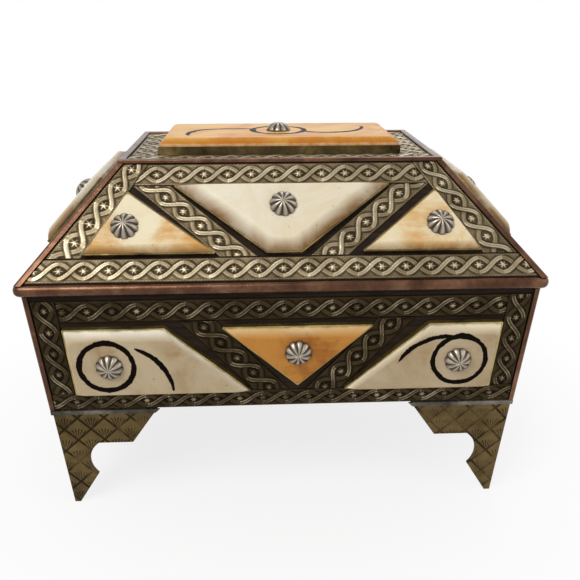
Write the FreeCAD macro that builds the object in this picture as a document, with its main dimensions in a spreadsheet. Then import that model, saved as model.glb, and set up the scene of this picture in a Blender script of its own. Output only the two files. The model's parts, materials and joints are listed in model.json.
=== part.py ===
"""Inlaid casket: a wooden box with a hipped lid, clad in embossed strips, bone plaques and dome nails."""
import FreeCAD, Part
import os
import re

import Sketcher

V = FreeCAD.Vector

# Driving sizes in millimetres. The front faces -Y, +Z is up, and the feet stand on Z = 0.
SIZES = {
    # overall
    "lid_width": 180.0,
    "lid_depth": 131.2,
    "foot_height": 42.3,
    "body_height": 45.6,
    "body_taper": 3.15,
    "body_setback": 1.0,
    "lid_rise": 34.1,
    "lid_inset": 30.85,
    # wooden boards
    "wall": 8.0,
    "floor_board": 6.0,
    "glue_line": 0.05,
    "lid_board": 6.0,
    "rail_width": 10.0,
    # copper edges
    "rim_thickness": 2.0,
    "rim_height": 4.0,
    "rim_corner": 3.0,
    "rim_round": 1.8,
    "edge_copper": 1.2,
    "post_copper": 0.8,
    "edge_leg": 1.2,
    "edge_round": 1.1,
    "seam_gap": 0.5,
    "crown_width": 1.7,
    "crown_overhang": 0.8,
    "crown_height": 1.2,
    # embossed metal strips
    "strip_sheet": 0.8,
    "strip_gap": 0.3,
    "lid_sill_strip": 8.5,
    "lid_head_strip": 8.4,
    "hip_strip": 12.6,
    "hip_strip_head": 8.6,
    "lid_diagonal": 13.0,
    "lid_diagonal_foot": 15.4,
    "body_sill_strip": 6.4,
    "body_head_strip": 8.0,
    "body_head_drop": 2.4,
    "post_strip": 8.2,
    "body_diagonal": 12.6,
    "body_diagonal_foot": 9.4,
    "body_diagonal_head": 34.4,
    "body_shift": 4.4,
    "top_strip": 9.7,
    # bone plaques
    "plaque": 4.5,
    "top_plaque": 6.4,
    "bevel": 2.2,
    "left_gap": 0.9,
    "right_gap": 4.4,
    "middle_gap": 0.9,
    "middle_gap_low": 4.0,
    "hip_gap": 0.9,
    "plaque_sill": 1.15,
    "lid_plaque_head": 1.2,
    "body_plaque_head": 2.3,
    "apex_drop": 3.8,
    "side_gap": 1.2,
    "body_gap_low": 0.9,
    "body_gap_high": 6.8,
    "tip_rise": 2.2,
    "band_sheet": 0.45,
    "band_height": 2.1,
    "top_band_height": 3.4,
    # rosette nails
    "nail_head": 4.75,
    "nail_dome": 3.0,
    "nail_rim": 0.5,
    "nail_shank": 0.8,
    "nail_bite": 4.2,
    "nail_clearance": 0.05,
    "nail_lobes": 10,
    "flute": 0.55,
    "nail_inset": 13.0,
    "nail_drop": 8.8,
    "nail_rise": 8.9,
    "body_nail_rise": 12.2,
    "side_nail_drop": 3.0,
    # hinges
    "hinge_spacing": 92.0,
    "hinge_length": 24.0,
    "hinge_offset": 0.1,
    "leaf": 1.0,
    "leaf_depth": 7.6,
    "leaf_clearance": 0.1,
    "knuckle": 1.6,
    "knuckle_gap": 0.25,
    "hinge_pin": 0.8,
    "pin_clearance": 0.04,
    "screw_spread": 14.0,
    "screw_edge": 2.7,
    "screw_head": 1.6,
    "screw_shank": 0.8,
    "screw_length": 6.0,
    "screw_clearance": 0.05,
    # feet
    "foot_taper": 3.0,
    "foot_sheet": 0.9,
    "foot_tip": 1.5,
    "spur_reach": 11.5,
    "spur_height": 13.4,
    "cove_depth": 3.2,
    "cove_reach": 14.0,
    "apron_height": 27.4,
    "apron_reach": 26.5,
    "foot_reach": 38.5,
    "solder": 0.6,
    "solder_height": 1.6,
}

doc = FreeCAD.newDocument("inlaid_box")
sheet = doc.addObject("Spreadsheet::Sheet", "Sizes")
for row, (alias, value) in enumerate(SIZES.items(), start=1):
    sheet.set(f"A{row}", alias)
    sheet.set(f"B{row}", str(value))
    sheet.setAlias(f"B{row}", alias)
doc.recompute()

NODES = []


def cells(text):
    """An expression in which each size's bare name points at its spreadsheet cell."""
    def point(match):
        name = match.group()
        return f"Sizes.{name}" if name in SIZES else name
    return re.sub(r"[A-Za-z_]\w*", point, text)


def number(text):
    """The present value of an expression."""
    return float(sheet.evalExpression(cells(text)))


def bind(item, **expressions):
    """Tie properties of an object to the spreadsheet."""
    for prop, text in expressions.items():
        item.setExpression(prop, cells(text))
    return item


def place(x, y, z, axis="0; 0; 1", angle="0"):
    """A placement expression: a turn about an axis, then a shift."""
    return f"placement(vector({x}; {y}; {z}); rotation(vector({axis}); {angle}))"


def node(item, name):
    """Mark an object as a finished sub-part whose label names its file."""
    item.Label = name
    NODES.append(item)
    return item


# Levels and outlines that follow from the driving sizes
PARTING = "(foot_height + body_height)"
LID_BASE = f"({PARTING} + rim_height)"
TOP = f"({LID_BASE} + lid_rise)"
LID_SLOPE = "sqrt(lid_rise ^ 2 + lid_inset ^ 2)"
BODY_SLOPE = "sqrt(body_height ^ 2 + body_taper ^ 2)"
FOOT_SLOPE = "sqrt(foot_height ^ 2 + foot_taper ^ 2)"
LID_HALF = {"x": "(lid_width / 2 - rim_thickness)", "y": "(lid_depth / 2 - rim_thickness)"}
BODY_HALF = {axis: f"({half} - body_setback)" for axis, half in LID_HALF.items()}
SIDES = {"front": 0, "right": 90, "back": 180, "left": 270}


def along(side):
    """The axis that a side's face runs along."""
    return "x" if side in ("front", "back") else "y"


def across(side):
    """The axis that a side's face looks along."""
    return "y" if side in ("front", "back") else "x"


def face_frame(side, reach, level, tilt):
    """A face's own frame: X along the face, Y up it, Z out of it."""
    turn = place(0, 0, 0, angle=SIDES[side])
    return f"{turn} * {place(0, f'-({reach})', level, '1; 0; 0', tilt)}"


def lid_frame(side):
    return face_frame(side, LID_HALF[across(side)], LID_BASE, "atan(lid_rise / lid_inset)")


def body_frame(side):
    reach = f"{BODY_HALF[across(side)]} - body_taper"
    return face_frame(side, reach, "foot_height", "90 deg + atan(body_taper / body_height)")


def foot_frame(side):
    reach = f"{BODY_HALF[across(side)]} - body_taper - foot_taper"
    return face_frame(side, reach, "0", "90 deg + atan(foot_taper / foot_height)")


def top_frame():
    return place(0, 0, TOP)


def lid_edge(side, rise):
    """Half the length of a lid face at a height up its slope."""
    return f"({LID_HALF[along(side)]} - ({rise}) * lid_inset / {LID_SLOPE})"


def body_edge(side, rise):
    """Half the length of a body face at a height up its slope."""
    return f"({BODY_HALF[along(side)]} - body_taper + ({rise}) * body_taper / {BODY_SLOPE})"


# Sketch and solid helpers
def add_sketch(body, name, frame=None):
    """A sketch on the body's XY plane, or on a frame set off from it."""
    sketch = body.newObject("Sketcher::SketchObject", name)
    plane = [item for item in body.Origin.OriginFeatures if item.Role == "XY_Plane"][0]
    sketch.AttachmentSupport = [(plane, "")]
    sketch.MapMode = "FlatFace"
    if frame:
        bind(sketch, AttachmentOffset=frame)
    return sketch


def tie_point(sketch, index, point, x, y):
    """Fix a point of a line, arc or circle by two bound distances from the sketch's origin."""
    for kind, text in (("DistanceX", x), ("DistanceY", y)):
        distance = sketch.addConstraint(Sketcher.Constraint(kind, -1, 1, index, point, number(text)))
        sketch.setExpression(f"Constraints[{distance}]", cells(text))


def hollow_arc(start, end, depth):
    """An arc that bows to the left of the way from start to end."""
    chord = end - start
    left = V(-chord.y, chord.x, 0).normalize()
    return Part.Arc(start, (start + end) * 0.5 + left * depth, end)


def draw_outline(sketch, points, arc=None):
    """A closed outline through expression points, straight but for one arc: its place, bow and radius."""
    first = sketch.GeometryCount
    spots = [V(number(x), number(y), 0) for x, y in points]
    count = len(points)
    for index, spot in enumerate(spots):
        following = spots[(index + 1) % count]
        line = Part.LineSegment(spot, following)
        if arc and index == arc["place"]:
            line = hollow_arc(spot, following, number(arc["bow"]))
        sketch.addGeometry(line, False)
    starts = []
    for index, spot in enumerate(spots):
        forward = sketch.getPoint(first + index, 1).distanceToPoint(spot) < 1e-6
        starts.append(1 if forward else 2)
    for index in range(count):
        following = (index + 1) % count
        joint = (first + index, 3 - starts[index], first + following, starts[following])
        sketch.addConstraint(Sketcher.Constraint("Coincident", *joint))
    for index, (x, y) in enumerate(points):
        tie_point(sketch, first + index, starts[index], x, y)
    if arc:
        radius = number(arc["radius"])
        size = sketch.addConstraint(Sketcher.Constraint("Radius", first + arc["place"], radius))
        sketch.setExpression(f"Constraints[{size}]", cells(arc["radius"]))


def draw_circle(sketch, x, y, radius):
    """A circle with a bound centre and radius."""
    index = sketch.addGeometry(Part.Circle(V(number(x), number(y), 0), V(0, 0, 1), number(radius)), False)
    tie_point(sketch, index, 3, x, y)
    size = sketch.addConstraint(Sketcher.Constraint("Radius", index, number(radius)))
    sketch.setExpression(f"Constraints[{size}]", cells(radius))


def add_pad(body, sketch, length, inward=False):
    pad = body.newObject("PartDesign::Pad", "pad")
    pad.Profile = sketch
    pad.Reversed = inward
    bind(pad, Length=length)
    doc.recompute()
    return pad


def sheet_body(name, frame, outlines, thickness):
    """A body of one or more flat pieces standing out of a face."""
    body = doc.addObject("PartDesign::Body", name)
    bind(body, Placement=frame)
    sketch = add_sketch(body, f"{name}_outline")
    for points in outlines:
        draw_outline(sketch, points)
    add_pad(body, sketch, thickness)
    return body


def box(name, size_x, size_y, size_z, x, y, z):
    """A box centred on X and Y that starts at a level."""
    item = doc.addObject("Part::Box", name)
    spot = place(f"{x} - ({size_x}) / 2", f"{y} - ({size_y}) / 2", z)
    return bind(item, Length=size_x, Width=size_y, Height=size_z, Placement=spot)


def cylinder(name, radius, length, frame):
    item = doc.addObject("Part::Cylinder", name)
    return bind(item, Radius=radius, Height=length, Placement=frame)


def frustum(name, low, high, level, height):
    """A solid with sloping sides between two centred rectangles, given as half sizes."""
    item = doc.addObject("Part::Wedge", name)
    bind(item, Xmin=f"-({low['x']})", Xmax=low["x"], Zmin=f"-({low['y']})", Zmax=low["y"])
    bind(item, X2min=f"-({high['x']})", X2max=high["x"], Z2min=f"-({high['y']})", Z2max=high["y"])
    return bind(item, Ymin="0", Ymax=height, Placement=place(0, 0, level, "1; 0; 0", "90"))


def combine(kind, name, base, tool):
    """A boolean of two objects: Cut, Common or Fuse."""
    item = doc.addObject(f"Part::{kind}", name)
    item.Base = base
    item.Tool = tool
    return item


def group(name, items):
    item = doc.addObject("Part::Compound", name)
    item.Links = items
    return item


def shrink(half, text):
    """Half sizes made smaller all round."""
    return {axis: f"({value} - ({text}))" for axis, value in half.items()}


def mitre_block(name, side, half, reach, level, height):
    """A block with 45 degree ends that picks one board out of a mitred frame."""
    run = half[along(side)]
    face = half[across(side)]
    points = [
        (f"-({run})", f"-({face})"),
        (run, f"-({face})"),
        (f"{run} - ({reach})", f"-({face}) + ({reach})"),
        (f"-({run}) + ({reach})", f"-({face}) + ({reach})"),
    ]
    turn = place(0, 0, 0, angle=SIDES[side])
    return sheet_body(name, f"{turn} * {place(0, 0, level)}", [points], height)


def near(first, second):
    return abs(first - second) < 1e-4


def edges_where(feature, keep):
    """Names of a feature's edges whose two end points pass a test."""
    names = []
    for index, edge in enumerate(feature.Shape.Edges, start=1):
        if len(edge.Vertexes) == 2 and keep(*[vertex.Point for vertex in edge.Vertexes]):
            names.append(f"Edge{index}")
    return names


def soften(body, kind, feature, edges, size):
    """A Fillet or Chamfer on named edges of a body's last feature."""
    item = body.newObject(f"PartDesign::{kind}", kind.lower())
    item.Base = (feature, edges)
    bind(item, **{"Radius" if kind == "Fillet" else "Size": size})
    doc.recompute()
    return item


# Wooden boards
LID_RUN = f"(lid_board * {LID_SLOPE} / lid_rise)"
LID_SHELL_RISE = "(lid_rise - lid_board)"
LID_SHELL_INSET = f"(lid_inset * {LID_SHELL_RISE} / lid_rise)"


def mitred_boards(prefix, suffix, shell, half, reach, level, height):
    """The four boards of a mitred shell, by side."""
    boards = {}
    for side in SIDES:
        block = mitre_block(f"{prefix}_{side}_mitre", side, half, reach, level, height)
        boards[side] = combine("Common", f"{prefix}_{side}_{suffix}_blank", shell, block)
    return boards


def body_walls():
    low = shrink(BODY_HALF, "body_taper")
    outer = frustum("body_outside", low, BODY_HALF, "foot_height", "body_height")
    hollow = [shrink(half, "wall") for half in (low, BODY_HALF)]
    inside = frustum("body_inside", *hollow, "foot_height", "body_height")
    shell = combine("Cut", "body_shell", outer, inside)
    return mitred_boards("body", "wall", shell, BODY_HALF, "body_taper + wall", "foot_height", "body_height")


def body_floor():
    low = shrink(BODY_HALF, "body_taper + wall + glue_line")
    high = shrink(BODY_HALF, "body_taper + wall + glue_line - body_taper * floor_board / body_height")
    node(frustum("floor", low, high, "foot_height", "floor_board"), "body_floor")


def lid_panels():
    high = shrink(LID_HALF, LID_SHELL_INSET)
    outer = frustum("lid_outside", LID_HALF, high, LID_BASE, LID_SHELL_RISE)
    inside = frustum("lid_inside", shrink(LID_HALF, LID_RUN), shrink(high, LID_RUN), LID_BASE, LID_SHELL_RISE)
    shell = combine("Cut", "lid_shell", outer, inside)
    reach = f"{LID_SHELL_INSET} + {LID_RUN}"
    return mitred_boards("lid", "panel", shell, LID_HALF, reach, LID_BASE, LID_SHELL_RISE)


def lid_top_board():
    low = shrink(LID_HALF, LID_SHELL_INSET)
    high = shrink(LID_HALF, "lid_inset")
    return frustum("lid_top_blank", low, high, f"{TOP} - lid_board", "lid_board")


def lid_rails():
    outer = frustum("rails_outside", LID_HALF, LID_HALF, PARTING, "rim_height")
    hole = shrink(LID_HALF, "rail_width")
    inside = frustum("rails_inside", hole, hole, PARTING, "rim_height")
    ring = combine("Cut", "rail_ring", outer, inside)
    return mitred_boards("lid", "rail", ring, LID_HALF, "rail_width", PARTING, "rim_height")


# Copper edges
def lid_rim():
    """The half-round moulding round the foot of the lid."""
    body = doc.addObject("PartDesign::Body", "rim_blank")
    bind(body, Placement=place(0, 0, PARTING))
    sketch = add_sketch(body, "rim_plan")
    for x, y in (("lid_width / 2", "lid_depth / 2"), (LID_HALF["x"], LID_HALF["y"])):
        draw_outline(sketch, [(f"-({x})", f"-({y})"), (x, f"-({y})"), (x, y), (f"-({x})", y)])
    pad = add_pad(body, sketch, "rim_height")
    width, depth = number("lid_width / 2"), number("lid_depth / 2")

    def upright(start, end):
        return not near(start.z, end.z) and near(abs(start.x), width) and near(abs(start.y), depth)

    def outside(point):
        return near(abs(point.x), width) or near(abs(point.y), depth)

    corners = soften(body, "Fillet", pad, edges_where(pad, upright), "rim_corner")
    rounds = edges_where(corners, lambda start, end: near(start.z, end.z) and outside(start) and outside(end))
    soften(body, "Fillet", corners, rounds, "rim_round")
    return body


def corner_angle(name, half, copper, lean, level, height, sign_x, sign_y):
    """A folded copper strip over a sloping corner: an L in plan, carried up along the corner."""
    body = doc.addObject("PartDesign::Body", name)
    bind(body, Placement=place(0, 0, level))
    sketch = add_sketch(body, f"{name}_plan")
    x, y = half["x"], half["y"]
    plan = [
        (f"{x} + {copper}", f"{y} + {copper}"),
        (f"{x} - edge_leg", f"{y} + {copper}"),
        (f"{x} - edge_leg", y),
        (x, y),
        (x, f"{y} - edge_leg"),
        (f"{x} + {copper}", f"{y} - edge_leg"),
    ]
    draw_outline(sketch, [(f"{sign_x} * ({u})", f"{sign_y} * ({v})") for u, v in plan])
    pad = body.newObject("PartDesign::Pad", "pad")
    pad.Profile = sketch
    pad.UseCustomVector = True
    pad.AlongSketchNormal = True
    slope = {"Direction.x": f"{sign_x} * ({lean})", "Direction.y": f"{sign_y} * ({lean})"}
    bind(pad, **slope, **{"Direction.z": "1", "Length": height})
    doc.recompute()
    ridge_x, ridge_y, rate = number(plan[0][0]), number(plan[0][1]), number(lean)

    def on_ridge(point):
        shift = point.z * rate
        return near(abs(point.x), ridge_x + shift) and near(abs(point.y), ridge_y + shift)

    ridge = edges_where(pad, lambda start, end: on_ridge(start) and on_ridge(end))
    soften(body, "Fillet", pad, ridge, "edge_round")
    return body


CORNERS = [("front_left", -1, -1), ("front_right", 1, -1), ("back_left", -1, 1), ("back_right", 1, 1)]


def hip_and_post_copper():
    low = shrink(BODY_HALF, "body_taper")
    hips = []
    posts = []
    for name, sign_x, sign_y in CORNERS:
        lean = "-lid_inset / lid_rise"
        hip = corner_angle(f"hip_{name}", LID_HALF, "edge_copper", lean, LID_BASE, "lid_rise", sign_x, sign_y)
        hips.append(hip)
        lean = "body_taper / body_height"
        height = "body_height - seam_gap"
        post = corner_angle(f"post_{name}", low, "post_copper", lean, "foot_height", height, sign_x, sign_y)
        posts.append(post)
    node(group("hips", hips), "lid_hip_copper")
    node(group("posts", posts), "body_corner_copper")


def lid_crown():
    """The copper wire that frames the flat top."""
    body = doc.addObject("PartDesign::Body", "crown")
    bind(body, Placement=top_frame())
    sketch = add_sketch(body, "crown_plan")
    for change in ("lid_inset - crown_overhang", "lid_inset + crown_width"):
        half = shrink(LID_HALF, change)
        x, y = half["x"], half["y"]
        draw_outline(sketch, [(f"-({x})", f"-({y})"), (x, f"-({y})"), (x, y), (f"-({x})", y)])
    pad = add_pad(body, sketch, "crown_height")
    height = number("crown_height")
    edges = edges_where(pad, lambda start, end: near(start.z, height) and near(end.z, height))
    soften(body, "Fillet", pad, edges, "crown_height / 2")
    node(body, "lid_crown_copper")


# Layout of the faces, in each face's own frame
BODY_EDGE = "(edge_leg + strip_gap)"
LID_EDGE = f"({BODY_EDGE} + strip_sheet * lid_inset ^ 2 / ({LID_SLOPE} * lid_rise))"
LID_SILL = "(strip_gap + lid_sill_strip)"
LID_HEAD_TOP = f"({LID_SLOPE} - strip_sheet * lid_inset / lid_rise - strip_gap)"
LID_HEAD = f"({LID_HEAD_TOP} - lid_head_strip)"
BODY_SILL = "(strip_gap + body_sill_strip)"
BODY_HEAD_TOP = f"({BODY_SLOPE} - body_head_drop)"
BODY_HEAD = f"({BODY_HEAD_TOP} - body_head_strip)"


def mirrored(points):
    return [(f"-({u})", v) for u, v in points]


def centred(low, high, low_half, high_half):
    """A trapezoid about the face's middle line."""
    return [(f"-({low_half})", low), (low_half, low), (high_half, high), (f"-({high_half})", high)]


def moved(points, shift):
    return [(f"{u} + {shift}", v) for u, v in points]


def pair(points):
    return [points, mirrored(points)]


def hip_strip_width(rise):
    return f"(hip_strip + (hip_strip_head - hip_strip) * ({rise}) / {LID_SLOPE})"


def post_strip_width(rise):
    return "post_strip"


class Face:
    """The strips and plaques of one face of the lid or the body."""

    def __init__(self, part, side):
        lid = part == "lid"
        self.side = side
        self.edge = lid_edge if lid else body_edge
        self.margin = LID_EDGE if lid else BODY_EDGE
        self.frame = lid_frame(side) if lid else body_frame(side)
        self.upright = hip_strip_width if lid else post_strip_width
        self.sill = LID_SILL if lid else BODY_SILL
        self.head = LID_HEAD if lid else BODY_HEAD
        self.head_top = LID_HEAD_TOP if lid else BODY_HEAD_TOP
        self.low = f"({self.sill} + plaque_sill)"
        self.high = f"({self.head} - {'lid' if lid else 'body'}_plaque_head)"
        self.shift = "0" if lid else "body_shift"
        self.diagonal = "lid_diagonal" if lid else "body_diagonal"
        self.foot = "lid_diagonal_foot" if lid else "body_diagonal_foot"
        self.from_rise = f"({self.sill} + strip_gap)"
        self.to_rise = f"({self.head} - strip_gap)"
        corner = f"({self.inner(self.to_rise)} - strip_gap - lid_diagonal / 2)"
        self.headway = corner if lid else "body_diagonal_head"

    def outer(self, rise):
        """Where the strips start, beside the copper corner."""
        return f"({self.edge(self.side, rise)} - {self.margin})"

    def inner(self, rise):
        """The inner edge of the upright strip."""
        return f"({self.outer(rise)} - {self.upright(rise)})"

    def slant(self, rise):
        """The middle of the diagonal strip."""
        share = f"(({rise}) - {self.from_rise}) / ({self.to_rise} - {self.from_rise})"
        return f"({self.foot} + ({self.headway} - {self.foot}) * {share})"

    def border_strips(self):
        start = self.from_rise
        end = self.head_top
        low = "strip_gap"
        upright = [
            (self.outer(start), start),
            (self.outer(end), end),
            (self.inner(end), end),
            (self.inner(start), start),
        ]
        sill = centred(low, self.sill, self.outer(low), self.outer(self.sill))
        head_low = f"{self.inner(self.head)} - strip_gap"
        head_high = f"{self.inner(end)} - strip_gap"
        return [sill, centred(self.head, end, head_low, head_high)] + pair(upright)

    def diagonal_strips(self):
        half = f"{self.diagonal} / 2"
        low, high = self.from_rise, self.to_rise
        right = [
            (f"{self.slant(low)} - {half}", low),
            (f"{self.slant(low)} + {half}", low),
            (f"{self.slant(high)} + {half}", high),
            (f"{self.slant(high)} - {half}", high),
        ]
        return [moved(points, self.shift) for points in pair(right)]

    def beside(self, rise, way, gap):
        """A plaque's edge on the inner (-1) or outer (1) side of the diagonal strip."""
        return f"({self.slant(rise)} + {way} * ({self.diagonal} / 2 + {gap}))"


def lid_long_plaques(face):
    """The middle trapezoid and the two corner triangles of the lid's front or back."""
    apex = f"({face.head} - apex_drop)"
    apex_run = f"({face.inner(apex)} - hip_gap)"
    corners = [(f"{face.inner(face.low)} - hip_gap", face.low), (apex_run, apex)]
    right = [(face.beside(face.low, 1, "right_gap"), face.low)] + corners
    left = [(face.beside(face.low, 1, "left_gap"), face.low)] + corners
    low_half = face.beside(face.low, -1, "middle_gap_low")
    high_half = face.beside(face.high, -1, "middle_gap")
    middle = centred(face.low, face.high, low_half, high_half)
    nail_level = f"{face.low} + nail_rise"
    return {
        "middle": (middle, "0", f"{face.high} - nail_drop"),
        "right": (right, apex_run, nail_level),
        "left": (mirrored(left), f"-{apex_run}", nail_level),
    }


def body_long_plaques(face):
    """The middle triangle and the two corner plaques of the body's front or back."""
    edges = [
        (face.beside(face.high, 1, "body_gap_high"), face.high),
        (face.beside(face.low, 1, "body_gap_low"), face.low),
    ]
    corners = [
        (f"{face.inner(face.low)} - side_gap", face.low),
        (f"{face.inner(face.high)} - side_gap", face.high),
    ]
    right = moved(edges, face.shift) + corners
    left = moved(mirrored(edges), face.shift) + mirrored(corners)
    half = face.beside(face.high, -1, "middle_gap")
    tip = ("0", f"{face.low} + tip_rise")
    middle = moved([(f"-({half})", face.high), tip, (half, face.high)], face.shift)
    nail_run = f"({face.inner(face.low)} - side_gap - nail_inset)"
    nail_level = f"{face.low} + body_nail_rise"
    return {
        "middle": (middle, face.shift, f"{face.high} - nail_drop"),
        "right": (right, nail_run, nail_level),
        "left": (left, f"-{nail_run}", nail_level),
    }


def short_plaque(face):
    """The one plaque of a short side."""
    low = f"({face.sill} + side_gap)"
    high = f"({face.head} - side_gap)"
    halves = [f"{face.inner(rise)} - side_gap" for rise in (low, high)]
    return {"": (centred(low, high, *halves), "0", f"({low} + {high}) / 2 - side_nail_drop")}


def top_layout():
    """The strips and the plaque of the flat top."""
    rim = shrink(LID_HALF, "lid_inset + crown_width + strip_gap")
    field = shrink(rim, "top_strip")
    plaque = shrink(field, "strip_gap + band_sheet")
    front = [
        (f"-{rim['x']}", f"-{rim['y']}"),
        (rim["x"], f"-{rim['y']}"),
        (rim["x"], f"-{field['y']}"),
        (f"-{rim['x']}", f"-{field['y']}"),
    ]
    back = [(x, f"-({y})") for x, y in front]
    end = f"({field['y']} - strip_gap)"
    flank = [(field["x"], f"-{end}"), (rim["x"], f"-{end}"), (rim["x"], end), (field["x"], end)]
    outline = centred(f"-{plaque['y']}", plaque["y"], plaque["x"], plaque["x"])
    return [front, back] + pair(flank), {"": (outline, "0", "0")}


# Bone plaques with their brass bands and nails
class Trim:
    """Collects bands, nails and nail bores while plaques are made."""

    def __init__(self, nail):
        self.nail = nail
        self.bands = {"lid": [], "body": []}
        self.nails = {"lid": [], "body": []}
        self.bores = {}


def bevelled_slab(name, frame, outline, thickness):
    """A bone slab with bevelled upper edges, and the sketch of its outline."""
    body = doc.addObject("PartDesign::Body", name)
    bind(body, Placement=frame)
    sketch = add_sketch(body, f"{name}_outline")
    draw_outline(sketch, outline)
    pad = add_pad(body, sketch, thickness)
    level = number(thickness)
    edges = edges_where(pad, lambda start, end: near(start.z, level) and near(end.z, level))
    soften(body, "Chamfer", pad, edges, "bevel")
    return body, sketch


def brass_band(name, frame, sketch, height):
    """A thin band bent round a slab's foot."""
    ring = doc.addObject("Part::Offset2D", f"{name}_ring")
    ring.Source = sketch
    ring.Fill = True
    bind(ring, Value="band_sheet")
    band = doc.addObject("Part::Extrusion", f"{name}_band")
    band.Base = ring
    band.DirMode = "Custom"
    band.Dir = V(0, 0, 1)
    band.Solid = True
    return bind(band, LengthFwd=height, Placement=frame)


def add_plaques(trim, part, board, frame, plaques, thickness="plaque", band="band_height"):
    """The plaques of one face, each banded and pinned through to its board."""
    for place_name, (outline, u, v) in plaques.items():
        name = "_".join(word for word in (part, board, place_name, "plaque") if word)
        slab, sketch = bevelled_slab(f"{name}_slab", frame, outline, thickness)
        trim.bands[part].append(brass_band(name, frame, sketch, band))
        seat = f"{frame} * {place(u, v, thickness)}"
        nail = doc.addObject("App::Link", f"{name}_nail")
        nail.LinkedObject = trim.nail
        trim.nails[part].append(bind(nail, Placement=seat))
        depth = "(plaque + nail_bite + nail_clearance)"
        sunk = f"{frame} * {place(u, v, f'{thickness} - {depth}')}"
        bore = cylinder(f"{name}_bore", "nail_shank + nail_clearance", f"{depth} + nail_dome", sunk)
        trim.bores.setdefault((part, board), []).append(bore)
        node(combine("Cut", f"{name}_pinned", slab, bore), name)


def rosette_nail():
    """A fluted dome seated on Z = 0, with its shank below."""
    blank = doc.addObject("PartDesign::Body", "nail_scallop")
    disc = add_sketch(blank, "nail_disc")
    draw_circle(disc, "0", "0", "nail_head")
    add_pad(blank, disc, "nail_dome")
    notch = add_sketch(blank, "nail_notch")
    draw_circle(notch, "nail_head", "0", "flute")
    pocket = blank.newObject("PartDesign::Pocket", "notch")
    pocket.Profile = notch
    pocket.Type = "ThroughAll"
    pocket.Reversed = True
    doc.recompute()
    pattern = blank.newObject("PartDesign::PolarPattern", "notches")
    pattern.Originals = [pocket]
    axis = [item for item in blank.Origin.OriginFeatures if item.Role == "Z_Axis"][0]
    pattern.Axis = (axis, [""])
    pattern.Angle = 360
    bind(pattern, Occurrences="nail_lobes")
    blank.Tip = pattern
    ball = doc.addObject("Part::Sphere", "nail_ball")
    rise = "(nail_dome - nail_rim)"
    radius = f"((nail_head ^ 2 + {rise} ^ 2) / (2 * {rise}))"
    bind(ball, Radius=radius, Placement=place(0, 0, f"nail_dome - {radius}"))
    head = combine("Common", "nail_head_dome", blank, ball)
    reach = "(plaque + nail_bite)"
    shank = cylinder("nail_shank_pin", "nail_shank", reach, place(0, 0, f"-{reach}"))
    return combine("Fuse", "nail_pattern", head, shank)


# Hinges
AXIS_Y = f"({LID_HALF['y']} + hinge_offset)"
KNUCKLE_ROOM = "(knuckle + knuckle_gap)"
MORTISE_LENGTH = "(hinge_length + 2 * leaf_clearance)"
THIRD = "(hinge_length / 3)"
SCREW_Y = f"({AXIS_Y} - leaf_depth + screw_edge)"
HINGES = {"left": "-hinge_spacing / 2", "right": "hinge_spacing / 2"}


def barrel(name, radius, start, length):
    """A cylinder on the hinge line."""
    return cylinder(name, radius, length, place(start, AXIS_Y, PARTING, "0; 1; 0", "90"))


def hinge_room(name, middle, level):
    """The space that a leaf and the knuckles take out of the wood."""
    depth = f"(leaf_depth + leaf_clearance + {KNUCKLE_ROOM})"
    y = f"({AXIS_Y} + {KNUCKLE_ROOM} - {depth} / 2)"
    slot = box(f"{name}_slot", MORTISE_LENGTH, depth, "leaf", middle, y, level)
    bore = barrel(f"{name}_round", KNUCKLE_ROOM, f"{middle} - {MORTISE_LENGTH} / 2", MORTISE_LENGTH)
    return combine("Fuse", f"{name}_room", slot, bore)


def screw(name, x, way, spare):
    """A countersunk screw pointing down (-1) from the parting plane or up (1), made larger by a clearance."""
    cone = doc.addObject("Part::Cone", f"{name}_head")
    sink = "(screw_head - screw_shank)"
    turn = "180" if way < 0 else "0"
    head = place(x, SCREW_Y, f"{PARTING} + {way} * glue_line", "1; 0; 0", turn)
    bind(cone, Radius1=f"screw_head + {spare}", Radius2=f"screw_shank + {spare}", Height=sink, Placement=head)
    shank = cylinder(f"{name}_shank", f"screw_shank + {spare}", f"screw_length + {spare}", head)
    return combine("Fuse", name, cone, shank)


def hinge_leaf(name, middle, level, knuckles, relief, holes):
    """A plate with its knuckles, cleared round the other leaf's knuckles and bored for the pin."""
    inner = f"{AXIS_Y} - leaf_depth / 2"
    plate = box(f"{name}_plate", "hinge_length", "leaf_depth", "leaf", middle, inner, level)
    cleared = combine("Cut", f"{name}_cleared", plate, relief)
    joined = combine("Fuse", f"{name}_joined", cleared, knuckles)
    pin_bore = "hinge_pin + pin_clearance"
    bore = barrel(f"{name}_bore", pin_bore, f"{middle} - hinge_length / 2 - leaf", "hinge_length + 2 * leaf")
    bored = combine("Cut", f"{name}_bored", joined, bore)
    node(combine("Cut", f"{name}_drilled", bored, holes), name)


def screw_pair(name, middle, way, spare):
    offsets = ("- screw_spread / 2", "+ screw_spread / 2")
    places = [f"{middle} {offset}" for offset in offsets]
    return [screw(f"{name}_{index}", x, way, spare) for index, x in enumerate(places)]


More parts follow.
